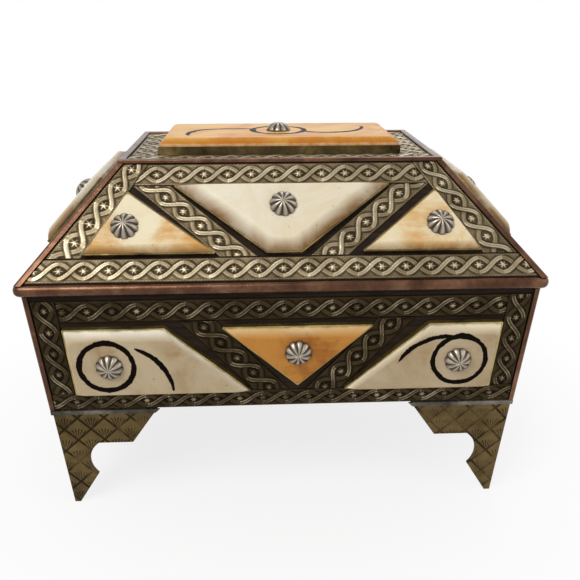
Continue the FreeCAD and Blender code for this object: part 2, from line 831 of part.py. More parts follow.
def hinges():
    """Both butt hinges; returns the spaces that they take out of the wall, the rail and the rim."""
    wall_cuts, rail_cuts, rim_cuts, pins = [], [], [], []
    screws = {"body": [], "lid": []}
    for hand, middle in HINGES.items():
        name = f"hinge_{hand}"
        ends = [f"{middle} - hinge_length / 2", f"{middle} + {THIRD} / 2"]
        play = "knuckle_gap / 2"
        centre = f"{middle} - {THIRD} / 2"
        outer = [barrel(f"{name}_outer_{i}", "knuckle", start, THIRD) for i, start in enumerate(ends)]
        inner = barrel(f"{name}_inner", "knuckle", f"{centre} + {play}", f"{THIRD} - knuckle_gap")
        outer_room = [
            barrel(f"{name}_outer_room_{index}", KNUCKLE_ROOM, start, THIRD) for index, start in enumerate(ends)
        ]
        inner_room = barrel(f"{name}_inner_room", KNUCKLE_ROOM, centre, THIRD)
        body_holes = screw_pair(f"{name}_body_hole", middle, -1, "screw_clearance")
        lid_holes = screw_pair(f"{name}_lid_hole", middle, 1, "screw_clearance")
        outer_group = group(f"{name}_outers", outer)
        hinge_leaf(f"{name}_body_leaf", middle, f"{PARTING} - leaf", outer_group, inner_room,
                   group(f"{name}_body_holes", body_holes))
        hinge_leaf(f"{name}_lid_leaf", middle, PARTING, inner, group(f"{name}_outer_rooms", outer_room),
                   group(f"{name}_lid_holes", lid_holes))
        screws["body"] += screw_pair(f"{name}_body_screw", middle, -1, "0")
        screws["lid"] += screw_pair(f"{name}_lid_screw", middle, 1, "0")
        pins.append(barrel(f"{name}_pin", "hinge_pin", ends[0], "hinge_length"))
        wall_cuts += [hinge_room(f"{name}_wall", middle, f"{PARTING} - leaf")] + body_holes
        rail_cuts += [hinge_room(f"{name}_rail", middle, PARTING)] + lid_holes
        notch = "(knuckle + 2 * knuckle_gap)"
        y = f"({LID_HALF['y']} + rim_thickness)"
        rim_cuts.append(box(f"{name}_notch", MORTISE_LENGTH, "2 * rim_thickness", notch, middle, y, PARTING))
    node(group("pins", pins), "hinge_pins")
    for part, items in screws.items():
        node(group(f"{part}_screws", items), f"hinge_{part}_screws")
    return wall_cuts, rail_cuts, rim_cuts


# Feet
def foot_outline(side, sign):
    """One flange of a foot: a pointed leg under a coved apron, measured in from the corner."""
    half = f"({BODY_HALF[along(side)]} - body_taper - foot_taper)"

    def spot(reach, rise):
        return (f"{sign} * ({half} + ({rise}) * foot_taper / {FOOT_SLOPE} - ({reach}))", rise)

    over = f"({FOOT_SLOPE} + foot_sheet)"
    points = [
        spot("0", "-foot_sheet"),
        spot("0", over),
        spot("foot_reach", over),
        spot("apron_reach", "apron_height"),
        spot("cove_reach", "apron_height"),
        spot("spur_reach", "spur_height"),
        spot("foot_tip", "-foot_sheet"),
    ]
    chord = "sqrt((cove_reach - spur_reach) ^ 2 + (apron_height - spur_height) ^ 2)"
    radius = f"(({chord} / 2) ^ 2 + cove_depth ^ 2) / (2 * cove_depth)"
    return points, {"place": 4, "bow": f"{sign} * cove_depth", "radius": radius}


def solder_outline(side, sign):
    """The run of solder along the top of one flange."""
    half = f"({BODY_HALF[along(side)]} - body_taper)"
    top = f"({FOOT_SLOPE} - strip_gap)"
    low = f"({top} - solder_height)"
    drop = f"foot_taper / {FOOT_SLOPE}"
    ends = [(f"{half} + solder - ({FOOT_SLOPE} - {rise}) * {drop}", rise) for rise in (low, top)]
    inner = [(f"{half} - foot_reach", top), (f"{half} - foot_reach + solder_height", low)]
    return [(f"{sign} * ({u})", v) for u, v in ends + inner]


def folded_pair(name, flanges, thickness, inward):
    """A body of two flanges, each drawn on its own side's slanting plane."""
    body = doc.addObject("PartDesign::Body", name)
    for side, points, arc in flanges:
        sketch = add_sketch(body, f"{name}_{side}", foot_frame(side))
        draw_outline(sketch, points, arc)
        add_pad(body, sketch, thickness, inward)
    return body


def feet():
    """Four brackets of folded brass sheet, cut level at the table and under the walls."""
    seams = []
    for name, sign_x, sign_y in CORNERS:
        long_side = "front" if sign_y < 0 else "back"
        short_side = "left" if sign_x < 0 else "right"
        long_sign = sign_x if long_side == "front" else -sign_x
        short_sign = sign_y if short_side == "right" else -sign_y
        pairs = [(long_side, long_sign), (short_side, short_sign)]
        flanges = [(side, *foot_outline(side, sign)) for side, sign in pairs]
        sheet_pair = folded_pair(f"foot_{name}_sheet", flanges, "foot_sheet", True)
        slab = box(f"foot_{name}_slab", "2 * lid_width", "2 * lid_depth", "foot_height", "0", "0", "0")
        node(combine("Common", f"foot_{name}_trimmed", sheet_pair, slab), f"foot_{name}")
        beads = [(side, solder_outline(side, sign), None) for side, sign in pairs]
        seams.append(folded_pair(f"solder_{name}", beads, "solder", False))
    node(group("seams", seams), "foot_solder_seams")


# Assembly
def cut_node(name, blank, cuts):
    """A board less everything that is let into it."""
    if cuts:
        tools = doc.addObject("Part::Compound", f"{name}_cuts")
        tools.Links = cuts
        blank = combine("Cut", f"{name}_cut", blank, tools)
    node(blank, name)


def build():
    trim = Trim(rosette_nail())
    for side in SIDES:
        for part, long_plaques in (("lid", lid_long_plaques), ("body", body_long_plaques)):
            face = Face(part, side)
            strips = face.border_strips()
            plaques = short_plaque(face)
            if along(side) == "x":
                strips = strips + face.diagonal_strips()
                plaques = long_plaques(face)
            sheets = sheet_body(f"{part}_{side}_sheets", face.frame, strips, "strip_sheet")
            node(sheets, f"{part}_{side}_strips")
            add_plaques(trim, part, side, face.frame, plaques)
    strips, plaques = top_layout()
    node(sheet_body("lid_top_sheets", top_frame(), strips, "strip_sheet"), "lid_top_strips")
    add_plaques(trim, "lid", "top", top_frame(), plaques, "top_plaque", "top_band_height")
    for part in ("lid", "body"):
        node(group(f"{part}_bands", trim.bands[part]), f"{part}_plaque_bands")
        node(group(f"{part}_nails", trim.nails[part]), f"{part}_rosette_nails")

    wall_cuts, rail_cuts, rim_cuts = hinges()
    for side, wall in body_walls().items():
        spare = wall_cuts if side == "back" else []
        cut_node(f"body_{side}_wall", wall, trim.bores[("body", side)] + spare)
    body_floor()
    for side, panel in lid_panels().items():
        spare = rail_cuts if side == "back" else []
        cut_node(f"lid_{side}_panel", panel, trim.bores[("lid", side)] + spare)
    cut_node("lid_top_board", lid_top_board(), trim.bores[("lid", "top")])
    rails = lid_rails()
    rails["back"] = combine("Cut", "lid_back_rail_cut", rails["back"], group("rail_cuts", rail_cuts))
    node(group("rails", list(rails.values())), "lid_frame_rails")
    cut_node("lid_copper_rim", lid_rim(), rim_cuts)
    hip_and_post_copper()
    lid_crown()
    feet()


def check_and_write():
    """Refuse a failed object or a bad shape, then write each sub-part's file."""
    doc.recompute()
    for item in doc.Objects:
        if "Invalid" in item.State or "Error" in item.State:
            raise RuntimeError(f"{item.Label} failed: {item.State}")
    for item in NODES:
        if item.Shape.isNull() or not item.Shape.isValid() or not item.Shape.Solids:
            raise RuntimeError(f"{item.Label} has no valid solid")
    os.makedirs("parts", exist_ok=True)
    for item in NODES:
        item.Shape.exportStep(f"parts/{item.Label}.step")
    print(len(NODES), "sub-parts written")


build()
check_and_write()
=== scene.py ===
"""Looks of the inlaid casket: embossed strips, bone plaques, rosette nails and aged metal."""
import json
import math

import bmesh
import bpy
import numpy as np
from mathutils import Matrix, Vector, noise


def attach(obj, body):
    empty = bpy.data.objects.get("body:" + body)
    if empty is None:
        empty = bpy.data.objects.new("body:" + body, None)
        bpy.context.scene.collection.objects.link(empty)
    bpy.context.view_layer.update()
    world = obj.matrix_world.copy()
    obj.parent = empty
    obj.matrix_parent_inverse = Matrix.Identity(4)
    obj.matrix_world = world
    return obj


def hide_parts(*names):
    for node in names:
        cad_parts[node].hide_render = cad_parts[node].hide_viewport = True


MM = 0.001
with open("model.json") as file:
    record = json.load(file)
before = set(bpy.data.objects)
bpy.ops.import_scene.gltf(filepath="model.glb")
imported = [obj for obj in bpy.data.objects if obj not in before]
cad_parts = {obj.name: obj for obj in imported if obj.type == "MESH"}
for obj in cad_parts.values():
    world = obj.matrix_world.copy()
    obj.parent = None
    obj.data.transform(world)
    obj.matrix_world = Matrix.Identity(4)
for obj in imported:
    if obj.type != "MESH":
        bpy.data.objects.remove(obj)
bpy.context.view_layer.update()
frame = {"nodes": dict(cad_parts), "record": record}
NODES = frame["nodes"]
BODY_OF = {node: body for body, nodes in frame["record"]["behaviour"]["bodies"].items() for node in nodes}

# Camera, from a fit of the box's corners to the photograph's 580 x 580 frame at a chosen focal
# length; turns in radians
FRAME_PIXELS = 580
FOCAL_PIXELS = 700
SENSOR_MM = 36.0
CAMERA_MM = (-8.9, -282.4, 173.6)
CAMERA_YAW = 0.048
CAMERA_PITCH = 0.370

# Embossed strips: lengths in millimetres, else shares, powers and counts
STRIP_SHEET = 0.8
STRIP_STEP = 0.3
STRIP_CELLS = 8
STRIP_SHIFT = 2.9
FIELD_HEIGHT = 0.3
EYE_PITCH = 8.3
RIBBON_HALF = 0.82
RIBBON_EDGE = 0.22
RIBBON_DISH = 0.4
RIBBON_SWING = 0.31
RIBBON_HEIGHT = 0.42
OVER_LIFT = 1.2
UNDER_SHARE = 0.9
TUCK = 0.5
STAR_POINTS = 6
STAR_REACH = 1.75
STAR_WAIST = 0.85
STAR_HEIGHT = 0.36
STAR_EDGE = 0.45
STAR_SHARPNESS = 1.6
BORDER_LINE = 0.5
BORDER_SHARE = 0.7
BORDER_HEIGHT = 0.24
TICK_PITCH = 0.9
TICK_DEPTH = 0.25
STIPPLE_RATE = 5.2
STIPPLE_DEPTH = 0.3
OUTSIDE_POLISH = 0.5
EYE_POLISH = 0.16
GROOVE = 0.9
OUTSIDE_LIFT = 0.06
RELIEF_TOP = 0.52

# Bone plaques: lengths in millimetres, else shares and counts
BEVEL_DROP = 2.2
CORNER_ROUND = 0.6
FACE_ROUND = 1.8
CORNER_POINTS = 6
EDGE_ROUND = 0.35
EDGE_LIP = 0.1
EDGE_SHARE = 0.03
EDGE_STEP = 1.6
FACE_INSET = 1.15
LEVEL_SIDE = 0.85
TOP_RINGS = 7
PLAQUE_WAVE = 0.08
WAVE_RATE = 0.12
STRAIGHT_RINGS = 2

# Rings over a plaque's bevel: share of the bevel's width, share of its drop, and the weight of the stain,
# dirt and painted light and shade on it
BEVEL_RINGS = ((0.12, 0.14, 0.9), (0.35, 0.45, 0.7), (0.65, 0.78, 0.4), (0.88, 0.96, 0.2))

# Brush strokes: how far their width swells, how much of it their ends lose, where their edge
# starts to fade and the half sweep of a whole ring
STROKE_SWELL = 2.0
STROKE_TAPER = 0.7
STROKE_FADE = 0.88
RING_SWEEP = 180.0

# Stamps on the feet: cell pitch in metres and ray turns
STAMP_PITCH = 0.0068
STAMP_RAYS = 24.0

# Rosette nails: lengths in millimetres, the turn in radians, else shares, powers and counts
NAIL_RADIUS = 4.75
NAIL_DOME = 2.95
NAIL_RIM = 0.35
NAIL_LOBES = 10
NAIL_RINGS = 16
NAIL_STEPS = 12
NAIL_EDGE = 0.12
NAIL_SCALLOP = 0.09
NAIL_TURN = 0.37
DOME_SHARPNESS = 2.3
DOME_FULLNESS = 0.75
FLUTE_DEPTH = 0.65
FLUTE_SHARPNESS = 1.3
FLUTE_FADE = 0.7
FLUTE_GROWTH = 3.0
FLUTE_LEAST = 0.25
SHINE_SHARPNESS = 0.8
SHINE_GROWTH = 2.5
NAIL_TONE_SPAN = 1.2

# Noise in the materials, in cycles per metre
STROKE_SCALE = 160.0
PATCH_SCALE = 120.0
PIT_SCALE = 1800.0
TARNISH_SCALE = 90.0
WEAR_SCALE = 260.0
SCRATCH_SCALE = 900.0
NAIL_SCALE = 500.0
STAMP_WEAR_SCALE = 110.0
GRAIN_SCALE = 60.0
CLOUD_SCALE = 38.0
STREAK_SCALE = 55.0
GRIME_AND_SHADE_SCALE = 300.0
SPECK_SCALE = 900.0

# Floor and world; lengths in metres
WHITE = (1.0, 1.0, 1.0, 1.0)
FLOOR_SIZE = 8.0
FLOOR_TONE = (0.92, 0.92, 0.91, 1.0)
FLOOR_ROUGHNESS = 0.9
FADE_FROM = 0.06
FADE_TO = 0.20
FADE_LEAST = 0.8
WORLD_STRENGTH = 0.34

# Lamps: place in millimetres and watts
LAMP_SIZE_MM = 500
LAMP_TARGET_MM = (0.0, 0.0, 80.0)
LAMPS = {
    "key_light": ((-350, -500, 700), 4.2),
    "fill_light": ((600, -300, 350), 0.7),
    "back_light": ((100, 600, 600), 1.5),
}


def vec_np(vector):
    return np.array((vector.x, vector.y, vector.z))


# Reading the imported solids
def welded(name):
    """A node's mesh with its split vertices joined and its flat faces whole."""
    mesh = bmesh.new()
    mesh.from_mesh(NODES[name].data)
    bmesh.ops.remove_doubles(mesh, verts=mesh.verts, dist=1e-6)
    bmesh.ops.dissolve_limit(mesh, angle_limit=0.005, verts=mesh.verts, edges=mesh.edges)
    return mesh


def solid_points(solid):
    """The corners of a solid's faces, in millimetres."""
    return np.array([vec_np(vert.co) / MM for face in solid for vert in face.verts])


def solid_middle(solid):
    points = solid_points(solid)
    return (points.max(axis=0) + points.min(axis=0)) / 2


def islands(mesh):
    """The separate solids of a mesh as lists of faces, in the order of their places."""
    left = set(mesh.faces)
    found = []
    while left:
        stack = [left.pop()]
        island = []
        while stack:
            face = stack.pop()
            island.append(face)
            for edge in face.edges:
                for other in edge.link_faces:
                    if other in left:
                        left.remove(other)
                        stack.append(other)
        found.append(island)
    return sorted(found, key=lambda solid: tuple(np.round(solid_middle(solid), 2)))


def looks_out(normal, middle):
    """Whether a face looks away from the box's upright middle line."""
    outward = normal.x * middle.x + normal.y * middle.y
    return normal.z > 0.5 if abs(outward) < 1e-5 else outward > 0


def outer_face(faces):
    """The largest face of a solid that looks out of the box."""
    candidates = [face for face in faces if looks_out(face.normal, face.calc_center_median())]
    return max(candidates, key=lambda face: face.calc_area())


def hull(points):
    """The convex outline of plane points, run anticlockwise, without points on its sides."""
    ordered = sorted({(round(float(x), 4), round(float(y), 4)) for x, y in points})

    def half(sequence):
        chain = []
        for x, y in sequence:
            while len(chain) > 1:
                (ax, ay), (bx, by) = chain[-2:]
                if (bx - ax) * (y - ay) - (by - ay) * (x - ax) > 1e-3:
                    break
                chain.pop()
            chain.append((x, y))
        return chain[:-1]

    return [np.array(corner) for corner in half(ordered) + half(ordered[::-1])]


def plane_axes(out):
    """The rightward and upward axes of a plane that looks along a direction."""
    right = np.cross((0.0, 0.0, 1.0) if abs(out[2]) < 0.9 else (0.0, 1.0, 0.0), out)
    right = right / np.linalg.norm(right)
    return right, np.cross(out, right)


def slab_plan(faces):
    """A slab's foot outline in its own plane, that plane's origin and axes, and the slab's thickness."""
    out = vec_np(outer_face(faces).normal)
    right, up = plane_axes(out)
    points = solid_points(faces)
    levels = points @ out
    foot = points[levels < levels.min() + 0.01]
    origin = (foot.max(axis=0) + foot.min(axis=0)) / 2
    outline = hull([((point - origin) @ right, (point - origin) @ up) for point in foot])
    return outline, origin, right, up, out, float(np.ptp(levels))


def new_object(name, verts, faces, material):
    mesh = bpy.data.meshes.new(name)
    mesh.from_pydata([tuple(v) for v in verts], [], faces)
    mesh.validate()
    mesh.shade_smooth()
    mesh.materials.append(material)
    piece = bpy.data.objects.new(name, mesh)
    bpy.context.scene.collection.objects.link(piece)
    return piece


def point_values(piece, name, values):
    """Give each point of a piece a number under a name that materials can read."""
    piece.data.attributes.new(name, "FLOAT", "POINT").data.foreach_set("value", values)


def recalculate(piece):
    """Point every face outwards."""
    mesh = bmesh.new()
    mesh.from_mesh(piece.data)
    bmesh.ops.recalc_face_normals(mesh, faces=mesh.faces)
    mesh.to_mesh(piece.data)
    mesh.free()


def ring_faces(rings, count):
    """Quads between stacked rings of points."""
    faces = []
    for level in range(rings - 1):
        low, high = level * count, (level + 1) * count
        for place in range(count):
            following = (place + 1) % count
            faces.append((low + place, low + following, high + following, high + place))
    return faces


def stand_for(piece, node):
    """Let a piece ride on its node's body and stand for that node."""
    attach(piece, BODY_OF[node])
    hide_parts(node)


# Shader helpers
class Shader:
    """A node material built in short calls."""

    def __init__(self, name, **sockets):
        self.material = bpy.data.materials.new(name)
        self.material.use_nodes = True
        self.nodes = self.material.node_tree.nodes
        self.links = self.material.node_tree.links
        self.surface = self.nodes["Principled BSDF"]
        for socket, value in sockets.items():
            self.surface.inputs[socket.replace("_", " ")].default_value = value
        self.place = self.nodes.new("ShaderNodeTexCoord").outputs["Object"]

    def link(self, source, target):
        self.links.new(source, target)

    def noise(self, scale, detail=4.0, roughness=0.6, distortion=0.0, stretch=None):
        """Noise in object space; scale is in cycles per metre."""
        item = self.nodes.new("ShaderNodeTexNoise")
        item.inputs["Scale"].default_value = scale
        item.inputs["Detail"].default_value = detail
        item.inputs["Roughness"].default_value = roughness
        item.inputs["Distortion"].default_value = distortion
        place = self.place
        if stretch:
            mapping = self.nodes.new("ShaderNodeMapping")
            mapping.inputs["Scale"].default_value = stretch
            self.link(self.place, mapping.inputs["Vector"])
            place = mapping.outputs["Vector"]
        self.link(place, item.inputs["Vector"])
        return item.outputs["Fac"]

    def attribute(self, name):
        item = self.nodes.new("ShaderNodeAttribute")
        item.attribute_name = name
        return item.outputs["Fac"]

    def stroke(self, centre, radius, half_width, facing, half_sweep):
        """A mask for a brush stroke along an arc of the plaque's plan; millimetres and degrees."""
        plan = self.nodes.new("ShaderNodeAttribute")
        plan.attribute_name = "plan"
        shift = self.nodes.new("ShaderNodeMapping")
        shift.vector_type = "TEXTURE"
        shift.inputs["Location"].default_value = (*centre, 0.0)
        shift.inputs["Rotation"].default_value = (0.0, 0.0, math.radians(facing))
        self.link(plan.outputs["Vector"], shift.inputs["Vector"])
        parts = self.nodes.new("ShaderNodeSeparateXYZ")
        self.link(shift.outputs["Vector"], parts.inputs["Vector"])
        squares = [self.math("POWER", parts.outputs[axis], 2.0) for axis in ("X", "Y")]
        reach = self.math("SQRT", self.math("ADD", *squares))
        away = self.math("ABSOLUTE", self.math("SUBTRACT", reach, radius))
        angle = self.math("ABSOLUTE", self.math("ARCTAN2", parts.outputs["Y"], parts.outputs["X"]))
        share = self.math("DIVIDE", angle, math.radians(half_sweep))
        taper = 0.0 if half_sweep == RING_SWEEP else STROKE_TAPER
        swell = self.math("MULTIPLY", self.noise(STROKE_SCALE, roughness=0.75), STROKE_SWELL)
        loss = self.math("MULTIPLY", self.math("POWER", share, 3.0), taper)
        width = self.math("SUBTRACT", swell, loss)
        ratio = self.math("DIVIDE", away, self.math("MULTIPLY", width, half_width))
        across = self.grey(ratio, (STROKE_FADE, 1.0), (1.0, 0.0))
        return self.math("MULTIPLY", across, self.math("LESS_THAN", share, 1.0))

    def stamp_cells(self, pitch):
        """Polar places inside a slanted grid of square cells over upright sheets; pitch in metres."""
        parts = self.nodes.new("ShaderNodeSeparateXYZ")
        self.link(self.place, parts.inputs["Vector"])
        level = self.math("ADD", parts.outputs["X"], parts.outputs["Y"])
        diagonal = pitch * math.sqrt(2)
        spots = []
        for operation in ("ADD", "SUBTRACT"):
            slanted = self.math("DIVIDE", self.math(operation, parts.outputs["Z"], level), diagonal)
            spots.append(self.math("SUBTRACT", self.math("FRACT", slanted), 0.5))
        sides = [self.math("SUBTRACT", 0.5, self.math("ABSOLUTE", spot)) for spot in spots]
        corner = [self.math("ADD", spot, 0.5) for spot in spots]
        far = self.math("SQRT", self.math("ADD", *[self.math("POWER", spot, 2.0) for spot in corner]))
        return {
            "reach": far,
            "angle": self.math("ARCTAN2", *corner),
            "edge": self.math("MINIMUM", *sides),
        }

    def wave(self, angle, turns):
        """A wave from 0 to 1 over an angle."""
        swing = self.math("SINE", self.math("MULTIPLY", angle, turns))
        return self.math("ADD", self.math("MULTIPLY", swing, 0.5), 0.5)

    def ramp(self, factor, *stops):
        """A colour ramp through (position, colour) stops."""
        item = self.nodes.new("ShaderNodeValToRGB")
        elements = item.color_ramp.elements
        while len(elements) < len(stops):
            elements.new(0.5)
        for element, (position, colour) in zip(elements, stops):
            element.position = position
            element.color = (*colour, 1.0)
        self.link(factor, item.inputs["Fac"])
        return item.outputs["Color"]

    def grey(self, factor, *stops):
        """A ramp through (position, value) stops."""
        return self.ramp(factor, *[(position, (value, value, value)) for position, value in stops])

    def mix(self, factor, first, second):
        item = self.nodes.new("ShaderNodeMix")
        item.data_type = "RGBA"
        for socket, value in ((0, factor), (6, first), (7, second)):
            if isinstance(value, (int, float)):
                item.inputs[socket].default_value = value
            elif isinstance(value, tuple):
                item.inputs[socket].default_value = (*value, 1.0)
            else:
                self.link(value, item.inputs[socket])
        return item.outputs[2]

    def math(self, operation, first, second=0.0):
        item = self.nodes.new("ShaderNodeMath")
        item.operation = operation
        for socket, value in enumerate((first, second)):
            if isinstance(value, (int, float)):
                item.inputs[socket].default_value = value
            else:
                self.link(value, item.inputs[socket])
        return item.outputs["Value"]

    def bump(self, height, strength, distance):
        item = self.nodes.new("ShaderNodeBump")
        item.inputs["Strength"].default_value = strength
        item.inputs["Distance"].default_value = distance
        self.link(height, item.inputs["Height"])
        self.link(item.outputs["Normal"], self.surface.inputs["Normal"])

    def tarnish(self):
        """Broad cloudy patches."""
        return self.noise(TARNISH_SCALE, detail=6.0, roughness=0.65, distortion=0.4)

    def wear(self, first, last):
        """Roughness that changes between two values in small spots."""
        self.rough(self.grey(self.noise(WEAR_SCALE, detail=5.0), (0.3, first), (0.7, last)))

    def colour(self, source):
        self.link(source, self.surface.inputs["Base Color"])

    def rough(self, source):
        self.link(source, self.surface.inputs["Roughness"])


def strip_metal(name, dark, field, ribbon_tone, bright):
    """Embossed nickel silver: dark patina in the hollows, bright on the ridges, partly rubbed wear and partly
    painted highlight; the tones passed in also carry painted light and shade.
    """
    shader = Shader(name, Metallic=1.0)
    polish = shader.attribute("polish")
    patches = shader.noise(PATCH_SCALE, detail=5.0)
    spread = shader.math("MULTIPLY", patches, 0.5)
    height = shader.math("ADD", polish, shader.math("SUBTRACT", spread, 0.25))
    shader.colour(shader.ramp(height, (0.04, dark), (0.40, field), (0.64, ribbon_tone), (0.92, bright)))
    shader.rough(shader.grey(height, (0.0, 0.62), (0.9, 0.30)))
    shader.bump(shader.noise(PIT_SCALE, detail=3.0), 0.25, 0.0002)
    return shader.material


def aged_metal(name, tones, roughness):
    """Sheet metal with darker tarnish patches and fine scratches."""
    dark, middle, bright = tones
    shader = Shader(name, Metallic=0.9)
    shader.colour(shader.ramp(shader.tarnish(), (0.30, dark), (0.50, middle), (0.72, bright)))
    shader.wear(*roughness)
    shader.bump(shader.noise(SCRATCH_SCALE), 0.3, 0.0002)
    return shader.material


def rosette_silver(name):
    """Fluted silver: bright lobes, black in the flutes."""
    shader = Shader(name, Metallic=0.9)
    patches = shader.math("MULTIPLY", shader.noise(NAIL_SCALE), 0.4)
    height = shader.math("ADD", shader.attribute("polish"), patches)
    share = shader.math("DIVIDE", height, NAIL_TONE_SPAN)
    tones = ((0.25, (0.045, 0.035, 0.026)), (0.70, (0.155, 0.128, 0.10)), (1.18, (0.40, 0.35, 0.28)))
    shader.colour(shader.ramp(share, *[(spot / NAIL_TONE_SPAN, tone) for spot, tone in tones]))
    shader.rough(shader.grey(height, (0.2, 0.5), (0.9, 0.30)))
    return shader.material


def stamped_brass(name, dark, middle, bright):
    """Old brass sheet stamped with crossing bands and fans of short rays."""
    shader = Shader(name, Metallic=1.0)
    cells = shader.stamp_cells(STAMP_PITCH)
    rays = shader.grey(shader.wave(cells["angle"], STAMP_RAYS), (0.55, 0.0), (0.8, 1.0))
    ring = shader.grey(cells["reach"], (0.16, 0.0), (0.24, 1.0), (0.68, 1.0), (0.76, 0.0))
    bands = shader.grey(cells["edge"], (0.045, 1.0), (0.085, 0.0))
    marks = shader.math("MAXIMUM", shader.math("MULTIPLY", rays, ring), bands)
    worn = shader.grey(shader.noise(STAMP_WEAR_SCALE), (0.36, 0.25), (0.54, 1.0))
    marks = shader.math("MULTIPLY", marks, worn)
    patches = shader.tarnish()
    sheet = shader.ramp(patches, (0.32, middle), (0.70, bright))
    shader.colour(shader.mix(shader.math("MULTIPLY", marks, 0.85), sheet, dark))
    shader.wear(0.38, 0.55)
    shader.bump(shader.math("SUBTRACT", shader.math("MULTIPLY", patches, 0.2), marks), 0.6, 0.0003)
    return shader.material


def stained_wood(name):
    """Dark stained wood with lengthwise grain."""
    shader = Shader(name, Specular_IOR_Level=0.15)
    grain = shader.noise(GRAIN_SCALE, detail=8.0, roughness=0.7, distortion=0.6, stretch=(1.0, 9.0, 9.0))
    tones = ((0.28, (0.006, 0.004, 0.003)), (0.52, (0.018, 0.010, 0.006)), (0.8, (0.05, 0.026, 0.012)))
    shader.colour(shader.ramp(grain, *tones))
    shader.rough(shader.grey(grain, (0.3, 0.85), (0.7, 0.65)))
    shader.bump(grain, 0.35, 0.0003)
    return shader.material


# Tones of the dirt and painted shade at the bone's edges (also of its dark specks) and of the painted
# strokes, and the shine of bone and paint
GRIME_AND_SHADE = (0.07, 0.04, 0.018)
PAINT = (0.006, 0.004, 0.003)
BONE_SHINE = 0.2
PAINT_SHINE = 0.02


def polished_bone(name, tones, bevel, strokes=(), rim=GRIME_AND_SHADE):
    """Bone: pale with soft warm clouds, fine grain, a stain in patches, bevels tinted partly by stain and
    partly by painted highlight and shade, dirt and painted shade at the edges, and painted strokes.
    """
    pale, warm, stain, amount = tones
    shader = Shader(name, Subsurface_Weight=0.1, Specular_IOR_Level=BONE_SHINE)
    shader.surface.inputs["Subsurface Radius"].default_value = (0.004, 0.0026, 0.0014)
    shader.surface.inputs["Subsurface Scale"].default_value = 0.4
    clouds = shader.noise(CLOUD_SCALE, detail=5.0, distortion=0.8)
    streaks = shader.noise(STREAK_SCALE, detail=7.0, roughness=0.7, distortion=0.5, stretch=(1.0, 5.0, 5.0))
    edge = shader.attribute("edge")
    middle = tuple(0.5 * (a + b) for a, b in zip(pale, warm))
    base = shader.ramp(clouds, (0.40, pale), (0.52, middle), (0.64, warm))
    mottle = shader.math("ADD", shader.math("MULTIPLY", clouds, 0.6), shader.math("MULTIPLY", streaks, 0.4))
    tinted = shader.mix(shader.grey(mottle, (amount, 0.0), (amount + 0.2, 1.0)), base, stain)
    uneven = shader.grey(clouds, (0.38, 0.55), (0.58, 1.0))
    # The bevel colour lies over the side walls and the bevel and fades towards the face. Where it is pale it
    # is a painted highlight; where it is dark brown it is partly stain and partly painted shade.
    slope = shader.math("MULTIPLY", shader.grey(edge, (0.15, 0.0), (0.85, 1.0)), uneven)
    tinted = shader.mix(slope, tinted, bevel)
    # Dirt and painted shade darken the plaque's side walls and outer bevel ring, broken up by noise.
    edge_grime_and_shade = shader.math("MULTIPLY", shader.grey(edge, (0.7, 0.0), (1.0, 1.0)), shader.noise(GRIME_AND_SHADE_SCALE))
    tinted = shader.mix(shader.grey(edge_grime_and_shade, (0.3, 0.0), (0.7, 0.6)), tinted, rim)
    specks = shader.grey(shader.noise(SPECK_SCALE, detail=2.0), (0.70, 0.0), (0.76, 0.7))
    tinted = shader.mix(specks, tinted, GRIME_AND_SHADE)
    if strokes:
        ink = shader.stroke(*strokes[0])
        for stroke in strokes[1:]:
            ink = shader.math("MAXIMUM", ink, shader.stroke(*stroke))
        tinted = shader.mix(ink, tinted, PAINT)
        shine = shader.grey(ink, (0.0, BONE_SHINE), (1.0, PAINT_SHINE))
        shader.link(shine, shader.surface.inputs["Specular IOR Level"])
    shader.colour(tinted)
    shader.rough(shader.grey(streaks, (0.3, 0.3), (0.7, 0.45)))
    shader.bump(streaks, 0.15, 0.0002)
    return shader.material


# Painted strokes: middle, radius, half width, facing angle and half sweep; millimetres and degrees,
# measured from the plaque's nail
LEFT_STROKES = [
    ((-1.0, 0.2), 9.3, 1.0, 0.0, RING_SWEEP),
    ((1.9, -10.9), 19.4, 0.95, 35.5, 33.0),
]
RIGHT_STROKES = [
    ((0.5, 0.2), 9.3, 0.95, 0.0, RING_SWEEP),
    ((-4.4, -9.5), 19.0, 0.9, 115.0, 38.0),
]
TOP_STROKES = [
    ((0.0, 0.0), 10.2, 1.2, 0.0, RING_SWEEP),
    ((-22.0, -9.0), 13.0, 1.3, 138.0, 60.0),
    ((-16.0, -50.0), 54.0, 1.2, 92.0, 7.5),
    ((19.5, 7.5), 14.8, 1.3, -66.0, 70.0),
]

# Metal tones, from tarnished to rubbed bright
# The strips are one nickel silver in two copies. The lid tones are lighter, a painted reflection of a bright
# ceiling on the upward-facing lid. The body tones are darker, painted shade on the front-facing body, with a
# painted highlight at their brightest stop.
LIT_LID_STRIP_TONES = ((0.030, 0.022, 0.012), (0.150, 0.114, 0.064), (0.31, 0.253, 0.162), (0.82, 0.74, 0.55))
SHADED_BODY_STRIP_TONES = ((0.012, 0.008, 0.004), (0.040, 0.028, 0.014), (0.070, 0.050, 0.027), (0.66, 0.55, 0.37))
FOOT_TONES = ((0.011, 0.007, 0.003), (0.080, 0.053, 0.022), (0.185, 0.128, 0.052))
COPPER_TONES = ((0.050, 0.022, 0.012), (0.105, 0.049, 0.027), (0.21, 0.11, 0.064))
BAND_TONES = ((0.03, 0.022, 0.009), (0.11, 0.078, 0.03), (0.30, 0.22, 0.085))
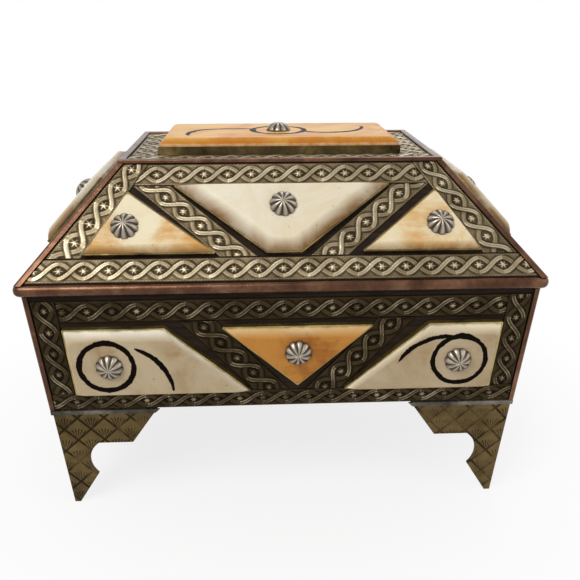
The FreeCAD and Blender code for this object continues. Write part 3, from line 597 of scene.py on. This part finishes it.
# The body bands' brass is a lighter copy of the band brass: a painted highlight on their upward-facing edges.
LIT_BODY_BAND_TONES = ((0.10, 0.07, 0.02), (0.36, 0.27, 0.09), (0.66, 0.52, 0.2))
HINGE_TONES = ((0.16, 0.11, 0.04), (0.34, 0.25, 0.10), (0.5, 0.39, 0.18))
SOLDER_TONES = ((0.035, 0.030, 0.025), (0.12, 0.108, 0.09), (0.30, 0.28, 0.24))
WOOD = stained_wood("stained_wood")
LIT_LID_STRIP = strip_metal("lit_lid_strip_metal", *LIT_LID_STRIP_TONES)
SHADED_BODY_STRIP = strip_metal("shaded_body_strip_metal", *SHADED_BODY_STRIP_TONES)
COPPER = aged_metal("aged_copper", COPPER_TONES, (0.20, 0.32))
BAND = aged_metal("band_brass", BAND_TONES, (0.35, 0.55))
LIT_BODY_BAND = aged_metal("lit_band_brass", LIT_BODY_BAND_TONES, (0.25, 0.4))
FOOT = stamped_brass("foot_brass", *FOOT_TONES)
HINGE = aged_metal("hinge_brass", HINGE_TONES, (0.3, 0.5))
NAIL = rosette_silver("nail_silver")
SOLDER = aged_metal("dull_solder", SOLDER_TONES, (0.5, 0.7))

# Bone tones: pale, warm and stain, and the level of mottle at which the stain begins
IVORY_TONES = ((0.86, 0.79, 0.63), (0.77, 0.66, 0.46), (0.42, 0.26, 0.10), 0.60)
AGED_TONES = ((0.53, 0.42, 0.27), (0.41, 0.295, 0.16), (0.34, 0.20, 0.075), 0.53)
CREAM_TONES = ((0.86, 0.76, 0.53), (0.78, 0.57, 0.28), (0.66, 0.31, 0.065), 0.47)
HENNA_TONES = ((0.54, 0.235, 0.042), (0.43, 0.155, 0.018), (0.25, 0.075, 0.010), 0.47)
TOP_TONES = ((0.75, 0.42, 0.095), (0.65, 0.27, 0.030), (0.52, 0.17, 0.014), 0.48)
# The colour after each set of tones goes on the bevels. On painted_bone_left, painted_bone_right and
# henna_bone it is a painted highlight on their wide upper bevels. On ivory_bone and cream_bone it is partly
# stain and partly painted shade on their lower and side bevels. On henna_bone_painted it is a deeper henna
# stain, and its edges take a whitish tone in place of the dirt and painted shade.
IVORY = polished_bone("ivory_bone", IVORY_TONES, (0.25, 0.125, 0.035))
LEFT_PAINTED = polished_bone("painted_bone_left", AGED_TONES, (0.86, 0.79, 0.64), LEFT_STROKES)
RIGHT_PAINTED = polished_bone("painted_bone_right", AGED_TONES, (0.84, 0.74, 0.54), RIGHT_STROKES)
CREAM = polished_bone("cream_bone", CREAM_TONES, (0.40, 0.20, 0.055))
HENNA = polished_bone("henna_bone", HENNA_TONES, (0.74, 0.53, 0.26))
TOP_HENNA = polished_bone(
    "henna_bone_painted", TOP_TONES, (0.52, 0.175, 0.012), TOP_STROKES, rim=(0.80, 0.66, 0.46))


# Embossed strips
def ribbon(along, across, swing, sign):
    """Distance from one wavy ribbon's middle, and whether it is climbing."""
    phase = math.pi / EYE_PITCH
    middle = sign * swing * np.cos(phase * along)
    slope = -sign * swing * phase * np.sin(phase * along)
    return np.abs(across - middle) / np.sqrt(1.0 + slope ** 2), slope > 0


def ribbon_profile(distance):
    """A flat ribbon with two raised edges."""
    body = np.clip((RIBBON_HALF - distance) / RIBBON_EDGE, 0.0, 1.0)
    rise = np.clip(distance / RIBBON_HALF, 0.0, 1.0) ** 2
    return RIBBON_HEIGHT * body * (1.0 - RIBBON_DISH + RIBBON_DISH * rise)


def star(along, across):
    """A small raised star in the middle of each eye."""
    offset = along - EYE_PITCH * np.round(along / EYE_PITCH)
    radius = np.hypot(offset, across)
    angle = np.arctan2(across, offset) * STAR_POINTS / (2 * math.pi)
    ray = 1.0 - 2.0 * np.abs(angle - np.round(angle))
    reach = STAR_WAIST + (STAR_REACH - STAR_WAIST) * ray ** STAR_SHARPNESS
    return STAR_HEIGHT * np.clip((reach - radius) / STAR_EDGE, 0.0, 1.0)


def border_line(along, across, half):
    """A ticked line along each border of a strip."""
    away = np.abs(np.abs(across) - (half - BORDER_LINE)) / (BORDER_LINE * BORDER_SHARE)
    ticks = 1.0 - TICK_DEPTH + TICK_DEPTH * np.sign(np.sin(2 * math.pi * along / TICK_PITCH))
    return BORDER_HEIGHT * np.clip(1.0 - away ** 2, 0.0, 1.0) * ticks


def braid(along, across, half):
    """Relief and polish of the twisted braid: two ribbons, the climbing one on top, round stars."""
    swing = half * 2 * RIBBON_SWING
    first, first_climbs = ribbon(along, across, swing, 1)
    second, _ = ribbon(along, across, swing, -1)
    over = np.where(first_climbs, first, second)
    under = np.where(first_climbs, second, first)
    tuck = np.clip((over - RIBBON_HALF) / TUCK, 0.0, 1.0)
    relief = np.maximum(ribbon_profile(over) * OVER_LIFT, ribbon_profile(under) * tuck * UNDER_SHARE)
    relief = np.maximum(relief, star(along, across))
    relief = np.maximum(relief, border_line(along, across, half))
    outside = np.abs(across) > swing * np.abs(np.cos(math.pi / EYE_PITCH * along)) + RIBBON_HALF
    clear = np.clip((np.minimum(first, second) - RIBBON_HALF) / GROOVE, 0.0, 1.0)
    dots = np.sin(STIPPLE_RATE * along) * np.sin(STIPPLE_RATE * across)
    stipple = 1.0 - STIPPLE_DEPTH + STIPPLE_DEPTH * dots
    ground = np.where(outside, OUTSIDE_POLISH, EYE_POLISH) * clear * stipple
    polish = np.maximum(relief / RELIEF_TOP, ground)
    return relief + np.where(outside, OUTSIDE_LIFT, 0.0), polish


def strip_edges(face):
    """A strip's two long edges, running the same way."""
    corners = [loop.vert.co for loop in face.loops]
    sides = [(corners[i], corners[(i + 1) % 4]) for i in range(4)]
    ranks = [(round((p - q).length / MM, 1), *(round(v / MM, 1) for v in p + q)) for p, q in sides]
    start = ranks.index(max(ranks))
    a0, a1, b1, b0 = (corners[(start + i) % 4] for i in range(4))
    return [vec_np(point) / MM for point in (a0, a1, b0, b1)]


def strip_grid(face, shift):
    """Points of one embossed strip and of its underside, and its polish; lengths in millimetres."""
    a0, a1, b0, b1 = strip_edges(face)
    out = vec_np(face.normal)
    length = np.linalg.norm(a1 - a0)
    direction = (a1 - a0) / length
    side = np.cross(out, direction)
    width = float(abs((b0 - a0) @ side))
    rows = max(STRIP_CELLS, int(round(width / STRIP_STEP)))
    columns = max(STRIP_CELLS, int(round(length / STRIP_STEP)))
    shares = [np.linspace(0, 1, count + 1) for count in (rows, columns)]
    share_across, share_along = np.meshgrid(*shares, indexing="ij")
    starts = a0 + (b0 - a0) * share_across[..., None]
    ends = a1 + (b1 - a1) * share_across[..., None]
    spots = starts + (ends - starts) * share_along[..., None]
    along = (spots - a0) @ direction + shift
    across = (share_across - 0.5) * width
    relief, polish = braid(along, across, width / 2)
    lift = FIELD_HEIGHT + relief - STRIP_SHEET
    top = spots + out * lift[..., None]
    floor = spots - out * STRIP_SHEET
    return top, floor, polish


def grid_faces(rows, columns, first):
    """Quads of a grid of points that starts at the given index."""
    faces = []
    for row in range(rows):
        for column in range(columns):
            corner = first + row * (columns + 1) + column
            faces.append((corner, corner + 1, corner + columns + 2, corner + columns + 1))
    return faces


def rim_indices(rows, columns):
    """Grid indices once round its edge."""
    width = columns + 1
    ring = list(range(columns))
    ring += [row * width + columns for row in range(rows)]
    ring += [rows * width + column for column in range(columns, 0, -1)]
    ring += [row * width for row in range(rows, 0, -1)]
    return ring


def skirt_faces(ring, first, skirt):
    """Quads from a strip's rim down to the wood, and the strip's underside."""
    count = len(ring)
    faces = []
    for place in range(count):
        following = (place + 1) % count
        faces.append((first + ring[following], first + ring[place], skirt + place, skirt + following))
    faces.append(tuple(skirt + place for place in reversed(range(count))))
    return faces


def emboss(node, material):
    """Replace a set of flat strips by embossed ones."""
    mesh = welded(node)
    verts, faces, polish_values = [], [], []
    for number, solid in enumerate(islands(mesh)):
        top, floor, polish = strip_grid(outer_face(solid), STRIP_SHIFT * number)
        rows, columns = top.shape[0] - 1, top.shape[1] - 1
        first = len(verts)
        verts.extend(top.reshape(-1, 3) * MM)
        polish_values.extend(polish.reshape(-1).tolist())
        faces.extend(grid_faces(rows, columns, first))
        ring = rim_indices(rows, columns)
        flat = floor.reshape(-1, 3)
        skirt = len(verts)
        verts.extend(flat[index] * MM for index in ring)
        polish_values.extend([0.0] * len(ring))
        faces.extend(skirt_faces(ring, first, skirt))
    mesh.free()
    piece = new_object(f"{node}_embossed", verts, faces, material)
    point_values(piece, "polish", polish_values)
    recalculate(piece)
    stand_for(piece, node)


# Lid strips take the lighter copy of the strip metal, with its painted reflection; body strips take the
# darker copy, with its painted shade.
for node_name in sorted(NODES):
    if node_name.endswith("_strips"):
        emboss(node_name, LIT_LID_STRIP if node_name.startswith("lid") else SHADED_BODY_STRIP)


# Bone plaques
def inset_outline(corners, insets):
    """A polygon with each side drawn in by its own inset."""
    lines = []
    for start, end, inset in zip(corners, corners[1:] + corners[:1], insets):
        way = (end - start) / np.linalg.norm(end - start)
        inward = np.array((-way[1], way[0]))
        lines.append((start + inward * inset, way))
    tips = []
    for index in range(len(corners)):
        (p, d), (q, e) = lines[index - 1], lines[index]
        tips.append(p + d * np.linalg.solve(np.array((d, -e)).T, q - p)[0])
    return tips


def side_bevels(corners, bevels):
    """The bevel of each side, by whether the side looks up, down or sideways."""
    up, down, sideways = bevels
    chosen = []
    for start, end in zip(corners, corners[1:] + corners[:1]):
        way = (end - start) / np.linalg.norm(end - start)
        if way[0] < -LEVEL_SIDE:
            chosen.append(up)
        elif way[0] > LEVEL_SIDE:
            chosen.append(down)
        else:
            chosen.append(sideways)
    return np.array(chosen)


def outline_points(tips, divisions, rounding):
    """Points round an outline: an arc at each corner and the given divisions along each side."""
    count = len(tips)
    points = []
    for index in range(count):
        before, here, after = tips[index - 1], tips[index], tips[(index + 1) % count]
        back = (before - here) / np.linalg.norm(before - here)
        ahead = (after - here) / np.linalg.norm(after - here)
        for share in np.linspace(0, 1, CORNER_POINTS):
            pull = rounding * ((1 - share) ** 2 * back + share ** 2 * ahead)
            points.append(here + pull)
        start = here + rounding * ahead
        end = after - rounding * ahead
        for step in range(1, divisions[index]):
            points.append(start + (end - start) * step / divisions[index])
    return points


def bone_profile(thickness):
    """Share of the bevel, height, and weight of stain, dirt and painted light and shade of each ring from a
    plaque's foot to its face.
    """
    shoulder = thickness - BEVEL_DROP
    side = [(0.0, 0.0, 1.0), (0.0, shoulder - EDGE_ROUND, 1.0), (EDGE_SHARE, shoulder - EDGE_LIP, 1.0)]
    bevel = [(share, shoulder + drop * BEVEL_DROP, stain) for share, drop, stain in BEVEL_RINGS]
    return side + bevel + [(1.0, thickness, 0.1), (FACE_INSET, thickness, 0.0)]


def plaque_rings(flat, bevels, thickness):
    """Rings of points, each with its height and its weight of stain, dirt and painted light and shade, and
    the middle that they close to.
    """
    widths = side_bevels(flat, bevels)
    sides = [np.linalg.norm(b - a) for a, b in zip(flat, flat[1:] + flat[:1])]
    divisions = [max(2, int(side / EDGE_STEP)) for side in sides]
    rings = []
    for share, height, stain in bone_profile(thickness):
        tips = inset_outline(flat, widths * share)
        rings.append((outline_points(tips, divisions, CORNER_ROUND + FACE_ROUND * share), height, stain))
    outline = rings[-1][0]
    centre = sum(outline) / len(outline)
    for step in range(1, TOP_RINGS):
        share = step / TOP_RINGS
        rings.append(([point + (centre - point) * share for point in outline], thickness, 0.0))
    return rings, centre


NAIL_NODES = ("lid_rosette_nails", "body_rosette_nails")


def nail_spots():
    """The middles of all the nails."""
    spots = []
    for node in NAIL_NODES:
        mesh = welded(node)
        spots += [solid_middle(solid) for solid in islands(mesh)]
        mesh.free()
    return spots


NAIL_SPOTS = nail_spots()
PLAQUE_SEATS = {}


def nearest_nail(spot):
    return min(NAIL_SPOTS, key=lambda nail: np.linalg.norm(nail - spot))


def surface_wave(spot, level):
    """How far a point of a plaque sinks from hand polishing; the foot stays straight."""
    if level <= STRAIGHT_RINGS:
        return 0.0
    return (noise.noise(Vector(spot * WAVE_RATE)) - 1.0) * PLAQUE_WAVE


def carve_plaque(node, material, bevels):
    """Replace a plaque by a softened, slightly uneven slab, mapped in millimetres from its nail."""
    mesh = welded(node)
    flat, origin, right, up, out, thickness = slab_plan(islands(mesh)[0])
    mesh.free()
    rings, centre = plaque_rings(flat, bevels, thickness)
    nail = nearest_nail(origin)
    # Each point carries its ring's weight of stain, dirt and painted light and shade as the edge attribute.
    verts, edge_stain_and_light, plan = [], [], []
    for level, (points, height, stain) in enumerate(rings + [([centre], thickness, 0.0)]):
        for point in points:
            spot = origin + right * point[0] + up * point[1] + out * height
            verts.append((spot + out * surface_wave(spot, level)) * MM)
            edge_stain_and_light.append(stain)
            plan.extend(((spot - nail) @ right, (spot - nail) @ up, 0.0))
    count = len(rings[0][0])
    last = (len(rings) - 1) * count
    faces = ring_faces(len(rings), count)
    faces.extend((last + place, last + (place + 1) % count, len(verts) - 1) for place in range(count))
    faces.append(tuple(reversed(range(count))))
    piece = new_object(f"{node}_bone", verts, faces, material)
    point_values(piece, "edge", edge_stain_and_light)
    piece.data.attributes.new("plan", "FLOAT_VECTOR", "POINT").data.foreach_set("vector", plan)
    stand_for(piece, node)
    PLAQUE_SEATS[node] = (origin + out * thickness, out)


def plaque_finish(node):
    """A plaque's material and the widths of its bevels above, below and at its sides."""
    if node == "lid_top_plaque":
        return TOP_HENNA, (1.6, 3.0, 2.4)
    if node in ("body_front_middle_plaque", "body_back_middle_plaque"):
        return HENNA, (3.2, 1.0, 1.0)
    if node in ("lid_front_middle_plaque", "lid_back_middle_plaque"):
        return IVORY, (0.8, 4.6, 5.2)
    if node.startswith("lid") and node.count("_") == 3:
        return CREAM, (1.0, 2.4, 1.0)
    if node.startswith("body") and node.count("_") == 3:
        return LEFT_PAINTED if "_left_" in node else RIGHT_PAINTED, (3.6, 0.8, 1.3)
    return IVORY, (1.4, 2.0, 2.0)


for node_name in sorted(NODES):
    if node_name.endswith("_plaque"):
        carve_plaque(node_name, *plaque_finish(node_name))


# Rosette nails
def nail_point(angle, share):
    """A point of a fluted dome at an angle and a share of its radius, and the point's polish."""
    hollow = 1.0 - abs(math.cos(angle * NAIL_LOBES / 2))
    radius = NAIL_RADIUS * share * (1.0 - NAIL_SCALLOP * hollow ** 2)
    dome = (1.0 - share ** DOME_SHARPNESS) ** DOME_FULLNESS
    growth = min(1.0, FLUTE_GROWTH * (1.0 - share) + FLUTE_LEAST)
    flute = FLUTE_DEPTH * hollow ** FLUTE_SHARPNESS * share ** FLUTE_FADE * growth
    height = max(NAIL_RIM + (NAIL_DOME - NAIL_RIM) * dome - flute, NAIL_EDGE)
    polish = 1.0 - hollow ** SHINE_SHARPNESS * min(1.0, SHINE_GROWTH * share)
    return (radius * math.cos(angle), radius * math.sin(angle), height), polish


def nail_shape():
    """Points, polish and faces of one fluted dome, in millimetres, seated on Z = 0."""
    around = NAIL_LOBES * NAIL_STEPS
    verts, polish = [], []
    for ring in range(NAIL_RINGS + 1):
        for step in range(around):
            point, shine = nail_point(2 * math.pi * step / around, 1.0 - ring / NAIL_RINGS)
            verts.append(point)
            polish.append(shine)
    faces = ring_faces(NAIL_RINGS + 1, around)
    base = len(verts)
    verts += [(x, y, 0.0) for x, y, _ in verts[:around]]
    polish += [0.0] * around
    for step in range(around):
        following = (step + 1) % around
        faces.append((base + step, base + following, following, step))
    faces.append(tuple(base + step for step in reversed(range(around))))
    return verts, polish, faces


def drive_nails(node):
    """Replace a set of plain nails by fluted rosettes on their plaques."""
    mesh = welded(node)
    shape, shape_polish, shape_faces = nail_shape()
    verts, polish, faces = [], [], []
    for number, solid in enumerate(islands(mesh)):
        points = solid_points(solid)
        middle = solid_middle(solid)
        seat, out = min(PLAQUE_SEATS.values(), key=lambda item: np.linalg.norm(item[0] - middle))
        right, up = plane_axes(out)
        spread = [(points @ axis).max() + (points @ axis).min() for axis in (right, up)]
        origin = right * spread[0] / 2 + up * spread[1] / 2 + out * (seat @ out)
        turn = NAIL_TURN * number
        first = len(verts)
        for x, y, z in shape:
            u = x * math.cos(turn) - y * math.sin(turn)
            v = x * math.sin(turn) + y * math.cos(turn)
            verts.append((origin + right * u + up * v + out * z) * MM)
        polish += shape_polish
        faces.extend(tuple(first + index for index in face) for face in shape_faces)
    mesh.free()
    piece = new_object(f"{node}_fluted", verts, faces, NAIL)
    point_values(piece, "polish", polish)
    recalculate(piece)
    stand_for(piece, node)


for node_name in NAIL_NODES:
    drive_nails(node_name)


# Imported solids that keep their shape
def dress(node, material):
    slots = NODES[node].data.materials
    slots.clear()
    slots.append(material)


def keeps_material(node):
    """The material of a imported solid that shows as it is."""
    # Body bands take the lighter copy of the band brass, a painted highlight.
    if "bands" in node:
        return LIT_BODY_BAND if node.startswith("body") else BAND
    if "copper" in node:
        return COPPER
    if node.startswith("hinge"):
        return HINGE
    if node.startswith("foot_solder"):
        return SOLDER
    if node.startswith("foot"):
        return FOOT
    return WOOD


for node_name in NODES:
    if not node_name.endswith(("_strips", "_plaque", "_nails")):
        dress(node_name, keeps_material(node_name))


# Stage, light and camera
def backdrop_rays(nodes, links):
    """Rays that should see a plain white backdrop: from the camera, off metal and through glass."""
    path = nodes.new("ShaderNodeLightPath")
    seen = path.outputs["Is Camera Ray"]
    for name in ("Is Glossy Ray", "Is Transmission Ray"):
        either = nodes.new("ShaderNodeMath")
        either.operation = "MAXIMUM"
        links.new(seen, either.inputs[0])
        links.new(path.outputs[name], either.inputs[1])
        seen = either.outputs["Value"]
    return seen


def whiteness(nodes, links):
    """How far a spot of the floor shows as plain white, growing with its distance from the box."""
    place = nodes.new("ShaderNodeTexCoord")
    away = nodes.new("ShaderNodeVectorMath")
    away.operation = "LENGTH"
    links.new(place.outputs["Object"], away.inputs[0])
    fade = nodes.new("ShaderNodeMapRange")
    fade.interpolation_type = "SMOOTHSTEP"
    fade.inputs["From Min"].default_value = FADE_FROM
    fade.inputs["From Max"].default_value = FADE_TO
    fade.inputs["To Min"].default_value = FADE_LEAST
    fade.inputs["To Max"].default_value = 1.0
    links.new(away.outputs["Value"], fade.inputs["Value"])
    share = nodes.new("ShaderNodeMath")
    share.operation = "MULTIPLY"
    links.new(fade.outputs["Result"], share.inputs[0])
    links.new(backdrop_rays(nodes, links), share.inputs[1])
    return share.outputs["Value"]


def white_floor():
    """A pale floor that fades to plain white away from the box and keeps the box's shadow."""
    bpy.ops.mesh.primitive_plane_add(size=FLOOR_SIZE, location=(0, 0, 0))
    floor = bpy.context.object
    floor.name = "floor"
    material = bpy.data.materials.new("pale_floor")
    material.use_nodes = True
    nodes, links = material.node_tree.nodes, material.node_tree.links
    surface = nodes["Principled BSDF"]
    surface.inputs["Base Color"].default_value = FLOOR_TONE
    surface.inputs["Roughness"].default_value = FLOOR_ROUGHNESS
    surface.inputs["Specular IOR Level"].default_value = 0.0
    glow = nodes.new("ShaderNodeEmission")
    mix = nodes.new("ShaderNodeMixShader")
    links.new(whiteness(nodes, links), mix.inputs["Fac"])
    links.new(surface.outputs["BSDF"], mix.inputs[1])
    links.new(glow.outputs["Emission"], mix.inputs[2])
    links.new(mix.outputs["Shader"], nodes["Material Output"].inputs["Surface"])
    floor.data.materials.append(material)


def white_world():
    """A world that lights the box softly and shows as plain white."""
    world = bpy.data.worlds.new("white_room")
    bpy.context.scene.world = world
    world.use_nodes = True
    nodes, links = world.node_tree.nodes, world.node_tree.links
    light = nodes["Background"]
    light.inputs["Color"].default_value = WHITE
    light.inputs["Strength"].default_value = WORLD_STRENGTH
    seen = nodes.new("ShaderNodeBackground")
    seen.inputs["Color"].default_value = WHITE
    seen.inputs["Strength"].default_value = 1.0
    mix = nodes.new("ShaderNodeMixShader")
    links.new(backdrop_rays(nodes, links), mix.inputs["Fac"])
    links.new(light.outputs["Background"], mix.inputs[1])
    links.new(seen.outputs["Background"], mix.inputs[2])
    links.new(mix.outputs["Shader"], nodes["World Output"].inputs["Surface"])


def area_light(name, place_mm, watts):
    data = bpy.data.lights.new(name, "AREA")
    data.size = LAMP_SIZE_MM * MM
    data.energy = watts
    lamp = bpy.data.objects.new(name, data)
    spot = Vector(place_mm) * MM
    lamp.location = spot
    lamp.rotation_euler = (Vector(LAMP_TARGET_MM) * MM - spot).to_track_quat("-Z", "Y").to_euler()
    bpy.context.scene.collection.objects.link(lamp)


def photo_camera():
    data = bpy.data.cameras.new("photo_camera")
    data.sensor_width = SENSOR_MM
    data.lens = SENSOR_MM * FOCAL_PIXELS / FRAME_PIXELS
    data.clip_start = 0.01
    camera = bpy.data.objects.new("photo_camera", data)
    ahead = Vector((
        math.sin(CAMERA_YAW) * math.cos(CAMERA_PITCH),
        math.cos(CAMERA_YAW) * math.cos(CAMERA_PITCH),
        -math.sin(CAMERA_PITCH),
    ))
    right = Vector((math.cos(CAMERA_YAW), -math.sin(CAMERA_YAW), 0.0))
    up = right.cross(ahead)
    turn = Matrix((right, up, -ahead)).transposed().to_4x4()
    camera.matrix_world = Matrix.Translation(Vector(CAMERA_MM) * MM) @ turn
    bpy.context.scene.collection.objects.link(camera)
    bpy.context.scene.camera = camera


white_floor()
white_world()
for lamp_name, (lamp_place, lamp_watts) in LAMPS.items():
    area_light(lamp_name, lamp_place, lamp_watts)
photo_camera()
bpy.context.scene.view_settings.view_transform = "Standard"
